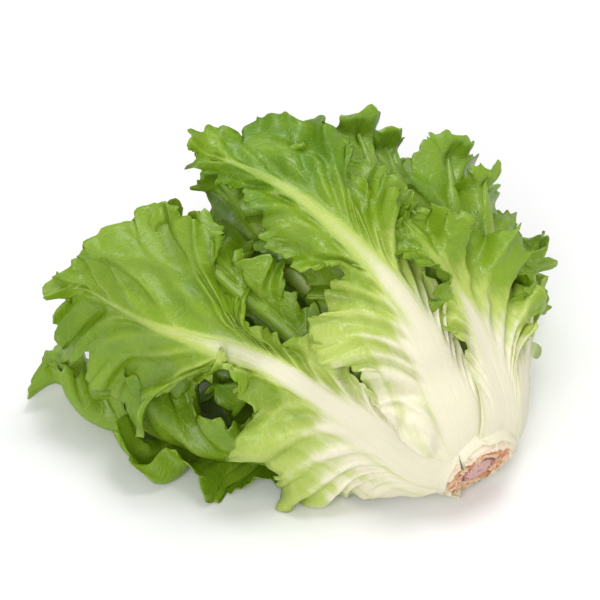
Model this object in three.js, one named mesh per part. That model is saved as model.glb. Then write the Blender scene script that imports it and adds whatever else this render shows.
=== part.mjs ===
// A curly endive head, cut at the stem and lying on its side.
// Millimetres, +Z up. +Y runs from the cut stump towards the leaf tips, and the table is at z = 0.
//
// Every leaf grows from the stump, so the head is laid out in polar terms about the stump's centre:
// a leaf's row of points lies at one distance from that centre, its spread is the angle from the
// head's own axis, and its heading is the turn round that axis (0 up, +90 right, -90 left, 180 down).
// Leaves sit in whorls, one inside another like bowls, and each leaf tilts a little so that its right
// edge lies over its neighbour's left edge. That keeps all the leaves apart.
import * as THREE from "three";

const AXIS_TILT = 23; // degrees that the head's axis rises above the table
const CENTRE_HEIGHT = 30; // of the stump's centre above the table
const LEAF_START = 29; // distance from the stump's centre at which leaves begin
const WHORL_STEP = 0.124; // share of the outer spread between one whorl and the next
const SHINGLE = 0.036; // share of the outer spread by which a leaf's edges rise and dip
const BLADE = 1.3; // thickness of a leaf blade
const RIB = 4.3; // thickness at the foot of an outer leaf's midrib
const RIB_TIP = 1.7; // thickness of the midrib near a leaf's tip
const RIB_HALF_WIDTH = 8; // of the midrib at its foot
const TABLE_CLEARANCE = 2; // from the table to the middle of the lowest leaves
const PALE = "#eeeccb";

const radians = THREE.MathUtils.degToRad;
const mix = THREE.MathUtils.lerp;

// A smooth curve through (knots, values), read at x and held level past both ends.
function through(knots, values, x) {
  const last = knots.length - 1;
  if (x <= knots[0]) return values[0];
  if (x >= knots[last]) return values[last];
  const k = knots.findIndex((knot) => knot > x) - 1;
  const slope = (a, b) => (values[b] - values[a]) / (knots[b] - knots[a]);
  const before = slope(Math.max(k - 1, 0), Math.min(k + 1, last));
  const after = slope(k, Math.min(k + 2, last));
  const span = knots[k + 1] - knots[k];
  const t = (x - knots[k]) / span;
  const rise = t * t * (3 - 2 * t);
  return (
    mix(values[k], values[k + 1], rise) +
    span * t * (1 - t) * ((1 - t) * before - t * after)
  );
}

// The outermost whorl's spread in degrees, by heading and by distance from the stump's centre.
const DISTANCES = [LEAF_START, 50, 80, 120, 165, 215, 265];
const SPREADS = [
  [-180, [112, 80, 66, 57, 50, 45, 42]],
  [-145, [112, 82, 72, 66, 60, 52, 46]],
  [-115, [112, 86, 80, 76, 70, 54, 47]],
  [-95, [112, 82, 74, 66, 54, 42, 39]],
  [-75, [112, 77, 64, 54, 48, 41, 38]],
  [-40, [108, 74, 60, 48, 39, 33, 30]],
  [-15, [104, 69, 57, 45, 36, 30, 27]],
  [20, [106, 69, 55, 45, 38, 34, 31]],
  [50, [110, 74, 58, 49, 43, 40, 37]],
  [85, [112, 78, 62, 53, 47, 43, 41]],
  [120, [112, 80, 66, 57, 50, 45, 42]],
  [180, [112, 80, 66, 57, 50, 45, 42]],
];

// The spread at which a ray of this length and heading would come down to the table.
function tableSpread(heading, distance) {
  const rise = Math.sin(radians(AXIS_TILT));
  const fall = Math.cos(radians(heading)) * Math.cos(radians(AXIS_TILT));
  const most = Math.hypot(rise, fall);
  const drop = (CENTRE_HEIGHT - TABLE_CLEARANCE) / distance;
  if (fall >= 0 || drop >= most) return 180;
  return THREE.MathUtils.radToDeg(Math.atan2(fall, rise) + Math.acos(-drop / most));
}

// The lesser of two angles, rounded where they meet.
const SOFTNESS = 9;
const softLeast = (a, b) => (a + b - Math.hypot(a - b, SOFTNESS)) / 2;

function outerSpread(heading, distance) {
  const turned = THREE.MathUtils.euclideanModulo(heading + 180, 360) - 180;
  const headings = SPREADS.map(([h]) => h);
  const spreads = SPREADS.map(([, row]) => through(DISTANCES, row, distance));
  return softLeast(through(headings, spreads, turned), tableSpread(turned, distance));
}

// The point at a distance, heading and spread about the stump's centre.
function place(distance, heading, spread) {
  const along = distance * Math.cos(radians(spread));
  const out = distance * Math.sin(radians(spread));
  const raised = out * Math.cos(radians(heading));
  return new THREE.Vector3(
    out * Math.sin(radians(heading)),
    along * Math.cos(radians(AXIS_TILT)) - raised * Math.sin(radians(AXIS_TILT)),
    along * Math.sin(radians(AXIS_TILT)) + raised * Math.cos(radians(AXIS_TILT)),
  );
}

// Closes a grid of outer points and a grid of inner points into one solid.
function shell(outer, inner) {
  const rows = outer.length;
  const columns = outer[0].length;
  const points = [...outer.flat(), ...inner.flat()];
  const at = (side, row, column) => (side * rows + row) * columns + column;
  const index = [];
  const quad = (a, b, c, d) => index.push(a, b, c, a, c, d);
  for (let r = 0; r + 1 < rows; r++) {
    for (let c = 0; c + 1 < columns; c++) {
      quad(at(0, r, c), at(0, r, c + 1), at(0, r + 1, c + 1), at(0, r + 1, c));
      quad(at(1, r, c), at(1, r + 1, c), at(1, r + 1, c + 1), at(1, r, c + 1));
    }
    quad(at(0, r, 0), at(0, r + 1, 0), at(1, r + 1, 0), at(1, r, 0));
    const c = columns - 1;
    quad(at(0, r, c), at(1, r, c), at(1, r + 1, c), at(0, r + 1, c));
  }
  for (let c = 0; c + 1 < columns; c++) {
    quad(at(0, 0, c), at(1, 0, c), at(1, 0, c + 1), at(0, 0, c + 1));
    const r = rows - 1;
    quad(at(0, r, c), at(0, r, c + 1), at(1, r, c + 1), at(1, r, c));
  }
  const geometry = new THREE.BufferGeometry().setFromPoints(points);
  geometry.setIndex(index);
  geometry.computeVertexNormals();
  return geometry;
}

// One leaf: its blade follows its whorl's surface, and its midrib stands out on the outer face.
// headings are read evenly from the leaf's foot to its tip; left and right hold pairs of a distance
// from the stump's centre and the half width there.
function leafGeometry(leaf) {
  const evenly = (values) => values.map((_, i) => i / (values.length - 1));
  const read = (values, share) => through(evenly(values), values, share);
  const width = (pairs, distance) =>
    through(
      pairs.map(([at]) => at),
      pairs.map(([, half]) => half),
      distance,
    );
  const reach = leaf.reach - LEAF_START;
  const outer = [];
  const inner = [];
  for (let r = 0; r <= leaf.rows; r++) {
    const share = (r / leaf.rows) ** 1.35;
    const distance = LEAF_START + reach * share;
    const heading = read(leaf.headings, share);
    const round = distance * Math.sin(radians(leaf.level * outerSpread(heading, distance)));
    const rib = mix(leaf.rib, RIB_TIP, Math.sqrt(share)) - BLADE;
    const ribHalfWidth = RIB_HALF_WIDTH * (leaf.rib / RIB) * (1 - 0.75 * share);
    const outerRow = [];
    const innerRow = [];
    for (const across of leaf.columns) {
      const side = width(across < 0 ? leaf.left : leaf.right, distance) * across;
      const turned = heading + THREE.MathUtils.radToDeg(side / round);
      const level = leaf.level + Math.abs(across) * (across < 0 ? leaf.lean[0] : leaf.lean[1]);
      const spread = level * outerSpread(turned, distance);
      const swell = rib * Math.exp(-((side / ribHalfWidth) ** 2));
      const degreesPerMm = THREE.MathUtils.radToDeg(1 / distance);
      outerRow.push(place(distance, turned, spread + (BLADE / 2 + swell) * degreesPerMm));
      innerRow.push(place(distance, turned, spread - (BLADE / 2) * degreesPerMm));
    }
    outer.push(outerRow);
    inner.push(innerRow);
  }
  return shell(outer, inner);
}

// Columns of points across a leaf, from its left edge to its right edge.
const MANY_COLUMNS = [-1, -0.7, -0.38, -0.13, 0, 0.13, 0.38, 0.7, 1];
const FEW_COLUMNS = [-1, -0.62, -0.2, 0, 0.2, 0.62, 1];

// The outermost leaves, each with its own course and outline. The lean is how far its left and
// right edges stand out from their whorl, as shares of its spread.
const OUTER_LEAVES = [
  {
    name: "outer_leaf_top",
    headings: [-16, -14, -20, -30, -45],
    reach: 219,
    left: [[29, 11], [50, 33], [70, 38], [98, 41], [126, 43], [142, 31], [160, 24], [182, 14], [219, 9]],
    right: [[29, 13], [58, 16], [87, 20], [110, 26], [140, 28], [170, 35], [200, 43], [219, 22]],
    lean: [0.01, -0.03],
  },
  {
    name: "outer_leaf_top_right",
    headings: [26, 20, 11, 3, -4],
    reach: 138,
    left: [[29, 11], [48, 13], [74, 16], [95, 14], [120, 10], [138, 8]],
    right: [[29, 11], [50, 14], [65, 30], [86, 53], [102, 56], [120, 40], [138, 20]],
    lean: [0.035, 0.035],
  },
  {
    name: "outer_leaf_right",
    headings: [66, 64, 66, 69, 72],
    reach: 114,
    left: [[29, 11], [50, 14], [75, 26], [96, 27], [114, 17]],
    right: [[29, 12], [50, 20], [75, 33], [96, 32], [114, 18]],
    lean: [-0.03, 0.03],
  },
  {
    name: "outer_leaf_under_right",
    headings: [114, 114, 117, 120, 122],
    reach: 190,
    left: [[29, 13], [56, 22], [83, 38], [110, 50], [137, 52], [164, 42], [190, 22]],
    right: [[29, 13], [56, 20], [83, 38], [110, 50], [137, 52], [164, 42], [190, 22]],
    lean: [-0.03, 0.03],
  },
  {
    name: "outer_leaf_under",
    headings: [172, 172, 174, 176, 178],
    reach: 222,
    left: [[29, 13], [60, 20], [93, 38], [125, 54], [158, 58], [190, 48], [222, 24]],
    right: [[29, 13], [60, 20], [93, 38], [125, 54], [158, 58], [190, 48], [222, 24]],
    lean: [-0.03, 0.03],
  },
  {
    name: "outer_leaf_under_left",
    headings: [-128, -130, -128, -122, -117],
    reach: 252,
    left: [[29, 12], [60, 20], [100, 34], [140, 44], [180, 48], [218, 44], [252, 26]],
    right: [[29, 12], [70, 13], [110, 19], [140, 36], [180, 43], [218, 42], [252, 26]],
    lean: [-0.03, -0.03],
  },
  {
    name: "outer_leaf_left",
    rows: 13,
    headings: [-70, -67, -71, -82, -96],
    reach: 243,
    left: [[29, 14], [50, 40], [78, 62], [103, 71], [125, 10], [154, 15], [182, 50], [212, 27], [243, 17]],
    right: [[29, 11], [55, 13], [75, 19], [98, 21], [130, 15], [155, 26], [182, 52], [208, 68], [226, 55], [243, 33]],
    lean: [0.05, -0.02],
  },
].map((leaf) => ({ rows: 9, ...leaf, level: 1, rib: RIB, columns: MANY_COLUMNS }));

// The whorls inside them: how many leaves, the first one's heading, and their half width.
const WHORLS = [
  { name: "second", count: 7, first: -116, width: 47, rib: 4.0, reach: 1 },
  { name: "third", count: 6, first: -85, width: 48, rib: 3.8, reach: 1 },
  { name: "fourth", count: 6, first: -52, width: 44, rib: 3.5, reach: 1 },
  { name: "fifth", count: 5, first: -35, width: 40, rib: 3.2, reach: 0.97 },
  { name: "sixth", count: 5, first: 0, width: 31, rib: 2.9, reach: 0.9 },
  { name: "seventh", count: 4, first: 30, width: 25, rib: 2.6, reach: 0.8 },
  { name: "heart", count: 3, first: -20, width: 16, rib: 2.3, reach: 0.68 },
];

// How far the leaves reach: near the outside it depends on their heading, and inside it doesn't.
const REACH_HEADINGS = [-180, -118, -95, -70, -35, 0, 40, 85, 130, 180];
const OUTER_REACHES = [218, 202, 222, 210, 198, 184, 152, 158, 188, 218];
const INNER_REACH = 215;

function whorlReach(heading, level) {
  const turned = THREE.MathUtils.euclideanModulo(heading + 180, 360) - 180;
  return mix(INNER_REACH, through(REACH_HEADINGS, OUTER_REACHES, turned), level);
}

// Leaves of one whorl, evenly round it, each a little longer, shorter or turned than the last.
function whorlLeaves(whorl, ring) {
  return Array.from({ length: whorl.count }, (_, i) => {
    const nudge = Math.sin(2.4 * i + 1.7 * ring);
    const level = 1 - WHORL_STEP * (ring + 1);
    const heading = whorl.first + (360 * i) / whorl.count + (i > 0 ? 4 * nudge : 0);
    const width = whorl.width * (1 + 0.08 * Math.cos(3.1 * i + ring));
    const reach = whorl.reach * whorlReach(heading, level) + 5 * nudge;
    const outline = [0.26, 0.42, 0.72, 0.96, 1, 0.84, 0.45].map((share, k) => [
      mix(LEAF_START, reach, k / 6),
      share * width,
    ]);
    const turn = 7 * Math.cos(1.9 * i + 2.3 * ring);
    return {
      name: `${whorl.name}_whorl_leaf_${i + 1}`,
      headings: [heading, heading, heading + 0.4 * turn, heading + turn],
      reach,
      left: outline,
      right: outline,
      lean: [-SHINGLE, SHINGLE],
      level,
      rib: whorl.rib,
      rows: ring < 2 ? 8 : 7,
      columns: ring < 2 ? MANY_COLUMNS : FEW_COLUMNS,
    };
  });
}

function leafMesh(leaf) {
  const green = new THREE.Color("#a4c93f").lerp(new THREE.Color("#7fae2e"), 1 - leaf.level);
  const material = new THREE.MeshStandardMaterial({ color: green, roughness: 0.45, metalness: 0 });
  const mesh = new THREE.Mesh(leafGeometry(leaf), material);
  mesh.name = leaf.name;
  return mesh;
}

// The stump: the stem's foot, cut square across, rounded where the leaves spring from it.
const STUMP_PROFILE = [
  [0, -16],
  [21, -16],
  [23.5, -12],
  [24.2, -4],
  [22.6, 6],
  [17.6, 15],
  [10, 21],
  [0, 23.5],
];
function stumpMesh() {
  const profile = STUMP_PROFILE.map(([r, s]) => new THREE.Vector2(r, s));
  const geometry = new THREE.LatheGeometry(profile, 36);
  geometry.rotateX(radians(AXIS_TILT)); // the lathe turns about +Y, and the head's axis rises from it
  const material = new THREE.MeshStandardMaterial({ color: PALE, roughness: 0.6, metalness: 0 });
  const mesh = new THREE.Mesh(geometry, material);
  mesh.name = "stump";
  return mesh;
}

const head = new THREE.Group();
head.add(stumpMesh(), ...[...OUTER_LEAVES, ...WHORLS.flatMap(whorlLeaves)].map(leafMesh));

// The origin is on the table, under the middle of the head.
const box = new THREE.Box3().setFromObject(head);
const middle = box.getCenter(new THREE.Vector3());
head.position.set(-middle.x, -middle.y, -box.min.z);

export default head;
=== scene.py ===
"""A head of curly endive lying on its side: frilled leaves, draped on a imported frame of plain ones."""

import math

import bmesh
import bpy
import numpy as np
from bpy.props import FloatProperty, FloatVectorProperty, IntProperty, PointerProperty
from mathutils import Matrix, Vector


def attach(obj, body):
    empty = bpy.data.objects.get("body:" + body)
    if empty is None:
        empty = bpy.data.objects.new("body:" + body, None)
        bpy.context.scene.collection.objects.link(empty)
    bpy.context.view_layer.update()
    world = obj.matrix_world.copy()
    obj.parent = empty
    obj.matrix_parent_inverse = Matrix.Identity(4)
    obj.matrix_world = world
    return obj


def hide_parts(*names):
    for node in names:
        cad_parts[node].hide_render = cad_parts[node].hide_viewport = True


bl_info = {
    "name": "Curly endive head",
    "version": (1, 0, 0),
    "blender": (4, 5, 0),
    "location": "3D View > Sidebar > Endive",
    "description": "Grows a head of curly endive: frilled leaves on a cut stump",
    "category": "Add Mesh",
}

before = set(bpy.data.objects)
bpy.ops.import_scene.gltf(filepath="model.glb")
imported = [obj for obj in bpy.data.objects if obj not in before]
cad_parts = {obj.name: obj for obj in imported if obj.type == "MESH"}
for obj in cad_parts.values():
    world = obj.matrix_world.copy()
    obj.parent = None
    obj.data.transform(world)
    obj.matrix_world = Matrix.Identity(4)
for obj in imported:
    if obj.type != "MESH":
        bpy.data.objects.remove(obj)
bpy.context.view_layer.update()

MM = 0.001
AXIS_TILT = math.radians(23)  # how far the head's axis rises above the table
CROWN_HEIGHT = 23.5  # mm from the stump's centre to its crown, along the axis
CUT_DEPTH = 16  # mm from the stump's centre back to the cut
PLAIN_BLADE = 1.3  # mm, the thickness of a plain leaf's blade
ALONG = np.array([0.0, math.cos(AXIS_TILT), math.sin(AXIS_TILT)])
ABOVE = np.array([0.0, -math.sin(AXIS_TILT), math.cos(AXIS_TILT)])
RIGHT = np.array([1.0, 0.0, 0.0])
RIB_COLUMNS = 8  # strips across a midrib
EDGE_SAMPLES = 600  # points read along a leaf's edge
LIMIT_SOFTNESS = 0.006  # metres over which a frill eases into its limits
FOOT = (29, 62)  # mm from the stump's centre along which a leaf's widened foot ends
CALM = (36, 150)  # mm along which its frill grows
TEETH = (55, 95)  # mm along which its teeth grow
VEIN_ARC = (0.62, 0.34)  # how far a side vein has gone along and across by its middle


# Reading the plain leaves


def plain_points(name):
    """A CAD node's separate points, in millimetres."""
    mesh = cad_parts[name].data
    points = np.empty(len(mesh.vertices) * 3)
    mesh.vertices.foreach_get("co", points)
    return np.unique(np.round(points.reshape(-1, 3) / MM, 3), axis=0)


def stump_centre():
    points = plain_points("stump")
    return points[(points @ ALONG).argmax()] - CROWN_HEIGHT * ALONG


CENTRE = stump_centre()


def place(distance, heading, spread):
    """Points at a distance from the stump's centre, a turn round the axis and an angle off it."""
    distance, heading, spread = (np.asarray(a)[..., None] for a in (distance, heading, spread))
    out = np.cos(heading) * ABOVE + np.sin(heading) * RIGHT
    return CENTRE + distance * (np.cos(spread) * ALONG + np.sin(spread) * out)


def plain_rows(name):
    """A plain leaf's rows: their distances, and the heading and spread of each of their points."""
    points = plain_points(name) - CENTRE
    distance = np.linalg.norm(points, axis=1)
    order = distance.argsort()
    cuts = np.flatnonzero(np.diff(distance[order]) > 0.5) + 1
    distances, headings, spreads = [], [], []
    for members in np.split(order, cuts):
        p = points[members]
        up, right = p @ ABOVE, p @ RIGHT
        middle = math.atan2(right.mean(), up.mean())
        turn = (np.arctan2(right, up) - middle + math.pi) % (2 * math.pi) - math.pi
        spread = np.arctan2(np.hypot(up, right), p @ ALONG)
        pairs = turn.argsort().reshape(-1, 2)
        row = distance[members].mean()
        distances.append(row)
        headings.append(middle + turn[pairs].mean(1))
        spreads.append(spread[pairs].min(1) + PLAIN_BLADE / 2 / row)
    return np.array(distances), np.unwrap(np.array(headings), axis=0), np.array(spreads)


def smooth(knots, values, x):
    """A smooth curve through (knots, values), read at x, and going straight on past both ends."""
    knots, values, x = (np.asarray(a, float) for a in (knots, values, x))
    slopes = np.gradient(values, knots, axis=0)
    k = np.clip(np.searchsorted(knots, x) - 1, 0, len(knots) - 2)
    span = knots[k + 1] - knots[k]
    t = np.clip((x - knots[k]) / span, 0, 1)
    past = x - knots[k] - t * span
    wide = (...,) + (None,) * (values.ndim - 1)
    t, span, past = t[wide], span[wide], past[wide]
    rise = t * t * (3 - 2 * t)
    curve = values[k] * (1 - rise) + values[k + 1] * rise
    curve += span * t * (1 - t) * ((1 - t) * slopes[k] - t * slopes[k + 1])
    return curve + past * np.where(past < 0, slopes[k], slopes[k + 1])


def ramp(x, low, high):
    """0 below low and 1 above high, rising smoothly between."""
    t = np.clip((x - low) / (high - low), 0, 1)
    return t * t * (3 - 2 * t)


def unit(vectors):
    return vectors / np.maximum(np.linalg.norm(vectors, axis=-1, keepdims=True), 1e-9)


class Drape:
    """The smooth surface that a plain leaf stands for.

    It is read by the distance from the stump's centre and by the length sideways from the midrib.
    Short of the first row it carries on round the stump, as the heel by which the leaf holds on."""

    HEEL = 14  # mm that can be read short of the first row
    PAST = 14  # mm that can be read past the last row and past the edges
    BENDS = 10  # mm past an edge over which the surface stops curving
    ALONG, ACROSS = 161, 141  # points of the grid that it is read from

    def __init__(self, name):
        rows, headings, spreads = plain_rows(name)
        middle = headings.shape[1] // 2
        round_axis = rows * np.sin(spreads[:, middle])
        sides = (headings - headings[:, [middle]]) * round_axis[:, None]
        self.rows, self.left, self.right = rows, -sides[:, 0], sides[:, -1]
        self.start, self.end = rows[0], rows[-1]
        reach = np.abs(sides).max() + self.PAST
        self.across = np.linspace(-reach, reach, self.ACROSS)
        self.lengths = np.linspace(self.start - self.HEEL, self.end + self.PAST, self.ALONG)
        on_sides = []
        for side, spread in zip(sides, spreads):
            inside = np.clip(self.across, side[0], side[-1])
            past = self.BENDS * np.tanh((self.across - inside) / self.BENDS)
            on_sides.append(smooth(side, spread, inside + past))
        distance = np.maximum(self.lengths, self.start)
        heel = (distance - self.lengths) / self.start
        spread = smooth(rows, np.array(on_sides), distance) + heel[:, None]
        heading = smooth(rows, headings[:, middle], distance)[:, None]
        heading = heading + self.across / smooth(rows, round_axis, distance)[:, None]
        self.points = place(distance[:, None] + 0 * heading, heading, spread)
        normals = np.cross(np.gradient(self.points, axis=0), np.gradient(self.points, axis=1))
        outward = place(distance[:, None] + 0 * heading, heading, spread + 0.01) - self.points
        normals *= np.sign((normals * outward).sum(-1, keepdims=True))
        self.normals = unit(normals)

    def read(self, grid, length, side):
        """The value of grid at each length and side."""
        i = np.interp(length, self.lengths, np.arange(len(self.lengths)))
        j = np.interp(side, self.across, np.arange(len(self.across)))
        a = np.minimum(i.astype(int), len(self.lengths) - 2)
        b = np.minimum(j.astype(int), len(self.across) - 2)
        i, j = (i - a)[..., None], (j - b)[..., None]
        near = grid[a, b] * (1 - j) + grid[a, b + 1] * j
        far = grid[a + 1, b] * (1 - j) + grid[a + 1, b + 1] * j
        return near * (1 - i) + far * i


# The flat pattern of a leaf


def jagged(length, mean_gap, rng):
    """Irregular teeth along an edge: a function from place along it to height, 0 to about 1."""
    gaps = mean_gap * rng.uniform(0.45, 1.6, int(length / mean_gap * 1.6) + 4)
    valleys = np.concatenate([[0], gaps.cumsum()])
    peaks = valleys[:-1] + gaps * rng.uniform(0.5, 0.8, len(gaps))
    heights = gaps / mean_gap * rng.uniform(0.35, 1.0, len(gaps))
    knots = np.stack([valleys[:-1], peaks], 1).ravel()
    values = np.stack([0 * heights, heights], 1).ravel()
    return lambda x: np.interp(x, knots, values)


def scalloped(length, mean_gap, rng):
    """Irregular round lobes along an edge: a function from place along it to height, 0 to about 1."""
    gaps = mean_gap * rng.uniform(0.5, 1.5, int(length / mean_gap * 1.6) + 4)
    valleys = np.concatenate([[0], gaps.cumsum()])
    heights = gaps / mean_gap * rng.uniform(0.5, 1.0, len(gaps))

    def height(x):
        k = np.clip(np.searchsorted(valleys, x, "right") - 1, 0, len(gaps) - 1)
        return heights[k] * np.sin(math.pi * np.clip((x - valleys[k]) / gaps[k], 0, 1)) ** 0.6

    return height


def wander(x, step, rng):
    """Smooth random numbers, about -1 to 1, that change over a length of about step."""
    knots = np.arange(0, x.max() + 3 * step, step)
    return smooth(knots, rng.uniform(-1, 1, len(knots)), x)


class Half:
    """One side of a leaf's flat pattern: veins run from the midrib to points evenly along the edge.

    Rows follow the edge from heel to tip and columns go from the midrib's side to the edge. All
    sizes are millimetres in the drape's own lengths and sides."""

    def __init__(self, drape, name, s, rng):
        start, end = drape.start - s["heel"], drape.end - s["short"]
        reach = end - start
        u = np.linspace(start, end, EDGE_SAMPLES)
        width = smooth(drape.rows, getattr(drape, name), np.maximum(u, drape.start))
        width = np.maximum(width * (1 - (1 - s["share"]) * ramp(u, 40, 90)), 4)
        width = width + s["foot_cover"] * (1 - ramp(u, *FOOT))
        for side, middle, long, depth in s["notches"]:
            if side == name:
                width = width * (1 - depth * np.exp(-(((u - middle) / long) ** 4)))
        foot = np.clip((u - start) / 6, 0, 1)
        width = width * (0.45 + 0.55 * np.sqrt(1 - (1 - foot) ** 2))
        tip = np.clip((u - end + s["tip"] * reach) / (s["tip"] * reach), 0, 1)
        width = width * np.sqrt(np.clip(1 - tip**2.6, 0, 1))
        edge = np.concatenate([[0], np.hypot(np.diff(u), np.diff(width)).cumsum()])
        t = np.linspace(0, 1, s["rows"] + 1)
        at = t * edge[-1]
        eu, ew = np.interp(at, edge, u), np.interp(at, edge, width)
        self.t = t

        # Teeth and lobes stand out square to the edge.
        tangent = unit(np.stack([np.gradient(eu), np.gradient(ew)], 1))
        ends = ramp(eu, *TEETH) * ramp(edge[-1] - at, 0, 6)
        teeth = s["tooth"] * jagged(edge[-1], s["tooth_gap"], rng)(at)
        teeth += s["lobe"] * (scalloped(edge[-1], s["lobe_gap"], rng)(at) - 0.5)
        teeth *= ends
        tooth_u, tooth_w = -tangent[:, 1] * teeth, tangent[:, 0] * teeth

        rib_end = end - s["rib_stop"] * reach
        root = np.clip(eu - s["sweep"] * ew, start, rib_end)
        root = np.maximum.accumulate(root)
        root = 0.75 * root + 0.25 * np.linspace(start, rib_end, len(root))
        pad = max(2, len(root) // 24)
        padded = np.concatenate([np.full(pad, root[0]), root, np.full(pad, root[-1])])
        root = np.convolve(padded, np.ones(2 * pad + 1) / (2 * pad + 1), "valid")
        root = start + (root - root[0]) / (root[-1] - root[0]) * (rib_end - start)
        share = (root - start) / (rib_end - start)
        half_rib = s["rib_width"] * (0.16 + 0.84 * (1 - share) ** 1.5) * (1 - share**8)
        self.half_rib = np.minimum(half_rib, 0.86 * np.interp(root, u, width))
        self.root = root

        q = np.linspace(0, 1, s["columns"] + 1) ** 0.9
        self.q = q
        q = q[None, :]
        du, dw = (eu - root)[:, None], (ew - self.half_rib)[:, None]
        self.u = root[:, None] + du * (2 * q * (1 - q) * VEIN_ARC[0] + q * q)
        self.w = self.half_rib[:, None] + dw * (2 * q * (1 - q) * VEIN_ARC[1] + q * q)
        reach_out = ramp(q, 0.62, 1)
        self.u = self.u + tooth_u[:, None] * reach_out
        self.w = np.maximum(self.w + tooth_w[:, None] * reach_out, 0)
        self.w[-1, :] = 0

        # Side veins, and the two sizes of frill, by their phase along the edge.
        veins = max(4, round(reach / s["vein_gap"]))
        self.vein_weight = rng.uniform(0.3, 1.0, veins + 2)
        warp = 0.22 * wander(t * veins, 1.3, rng) * ramp(t, 0, 0.1) * ramp(1 - t, 0, 0.1)
        self.vein_phase = t * veins + warp
        ruffles = at / s["ruffle_length"] + 0.35 * wander(at, 60, rng)
        frills = at / s["frill_length"] + 0.4 * wander(at, 25, rng)
        self.ruffle_phase = 2 * math.pi * (ruffles - ruffles[-1])
        self.frill_phase = 2 * math.pi * (frills - frills[-1])
        to_tip = ramp(edge[-1] - at, 0, 25)
        self.strength = 1 + 0.45 * wander(at, 35, rng) * to_tip
        self.bend = wander(at, 70, rng) * to_tip


def swells(u, w, shapes):
    """How far rounded ridges and hollows stand out of a leaf.

    Each is its middle's distance and side, its length, its width, the turn of its length towards
    the leaf's right, in degrees, and its height."""
    height = np.zeros_like(u)
    for middle, side, long, wide, turn, high in shapes:
        c, n = math.cos(math.radians(turn)), math.sin(math.radians(turn))
        du, dw = u - middle, w - side
        apart = ((du * c + dw * n) / long) ** 2 + ((dw * c - du * n) / wide) ** 2
        height += high * np.exp(-(apart**2.2))
    return height


def leaf_sheet(drape, s, rng):
    """The leaf as one sheet of vertices with what its frill and its finish need at each of them."""
    left, right = (Half(drape, side, s, rng) for side in ("left", "right"))
    across = np.linspace(-1, 1, RIB_COLUMNS + 1)[1:-1]
    mix = (across + 1) / 2
    rib_u = left.root[:, None] * (1 - mix) + right.root[:, None] * mix
    rib_w = -left.half_rib[:, None] * (1 - mix) + right.half_rib[:, None] * mix
    u = np.concatenate([left.u[:, ::-1], rib_u, right.u], 1)
    w = np.concatenate([-left.w[:, ::-1], rib_w, right.w], 1)
    flat = np.zeros_like(rib_u)

    def both(value):
        """Puts together a value for the left half, the midrib and the right half."""
        l, r = value(left), value(right)
        return np.concatenate([l[:, ::-1], flat, r], 1)

    span = np.ones_like(left.q)[None, :]

    def by_row(key):
        """Puts together a value that is the same from the midrib to the edge."""
        return both(lambda h: getattr(h, key)[:, None] * span)

    q = both(lambda h: np.ones_like(h.t)[:, None] * h.q)
    vein_phase = by_row("vein_phase")
    values = {key: by_row(key) for key in ("ruffle_phase", "frill_phase", "strength", "bend")}
    values["q"] = q
    u_share = np.clip((u - drape.start) / (drape.end - drape.start), 0, 1)
    rib_here = by_row("half_rib")
    in_rib = slice(s["columns"] + 1, s["columns"] + RIB_COLUMNS)
    rib_here[:, in_rib] = (left.half_rib + right.half_rib)[:, None] / 2
    dome = np.sqrt(np.clip(1 - (np.abs(w) / (1.35 * rib_here + 0.5)) ** 2, 0, 1)) ** 1.2
    rib_height = s["rib_height"] * (0.1 + 0.9 * (1 - u_share) ** 1.3)
    rib_height = rib_height * (s["foot_height"] + (1 - s["foot_height"]) * ramp(u, 30, 62))
    gap = np.abs(vein_phase - np.round(vein_phase))
    weight = both(lambda h: h.vein_weight[np.round(h.vein_phase).astype(int)][:, None] * span)
    spacing = s["vein_gap"] * (0.35 + 0.65 * q)
    vein_width = 0.45 + 1.5 * (1 - q) ** 1.4 * (1 - 0.5 * u_share) * weight
    ridge = np.exp(-((gap * spacing / vein_width) ** 2)) * (q > 0)
    vein = ridge * weight * (1 - ramp(q, 0.45, 0.95)) * (1 - 0.35 * u_share)
    blade = s["blade"] * (1 - 0.45 * ramp(q, 0.7, 1))
    thick = blade + rib_height * dome + s["vein_height"] * vein * (1 - q) ** 0.8
    base_flesh = s["base_flesh"] * (1 - ramp(u_share, 0, 0.22)) * (1 - 0.75 * q)
    heel_fade = 1 - 0.5 * ramp(drape.start - u, 0, 7)
    values["thick"] = (thick + base_flesh) * heel_fade
    values["pleat"] = np.sin(math.pi * gap) ** 2 * ramp(q, 0.0, 0.25) * (1 - 0.6 * ramp(q, 0.7, 1))
    values["pleat"] *= ramp(u, 34, 70)
    values["pleat"] *= s["pleat"] * (1 - 0.4 * ramp(u_share, 0.25, 0.7)) * (q > 0)
    values["rib"] = dome
    rib_pale = dome**0.75 * (1 - 0.7 * ramp(u_share, 0.3, 0.95)) * s["rib_pale"]
    foot = 1 - ramp(u / s["foot_ends"], 0.28, 1)
    foot = foot * (1 - (1 - s["edge_pale"]) * ramp(q, 0.15, 1) * ramp(u, 50, 110))
    vein_pale = vein * (0.75 - 0.3 * ramp(u_share, 0.1, 0.8))
    hollow = np.sin(math.pi * gap) ** 2 * ramp(q, 0.1, 0.5) * (q > 0) * ramp(u, 40, 75) * s["pleat"] / 4
    pale = np.maximum(np.maximum(rib_pale, foot - 0.14 * hollow), vein_pale)
    values["pale"] = pale + 0.25 * foot * vein
    # Painted shade: away from its foot and midrib, the blade is made greener and darker by the share this
    # setting gives
    values["pale"] -= s["painted_shade"] * (1 - foot) * (1 - dome)
    values["flat_u"], values["flat_w"] = u, w

    base = drape.read(drape.points, u, w)
    normal = unit(drape.read(drape.normals, u, w))
    base = base + normal * swells(u, w, s["swells"])[..., None]
    along = unit(np.gradient(base, axis=0))
    return base, normal, along, values


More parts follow.
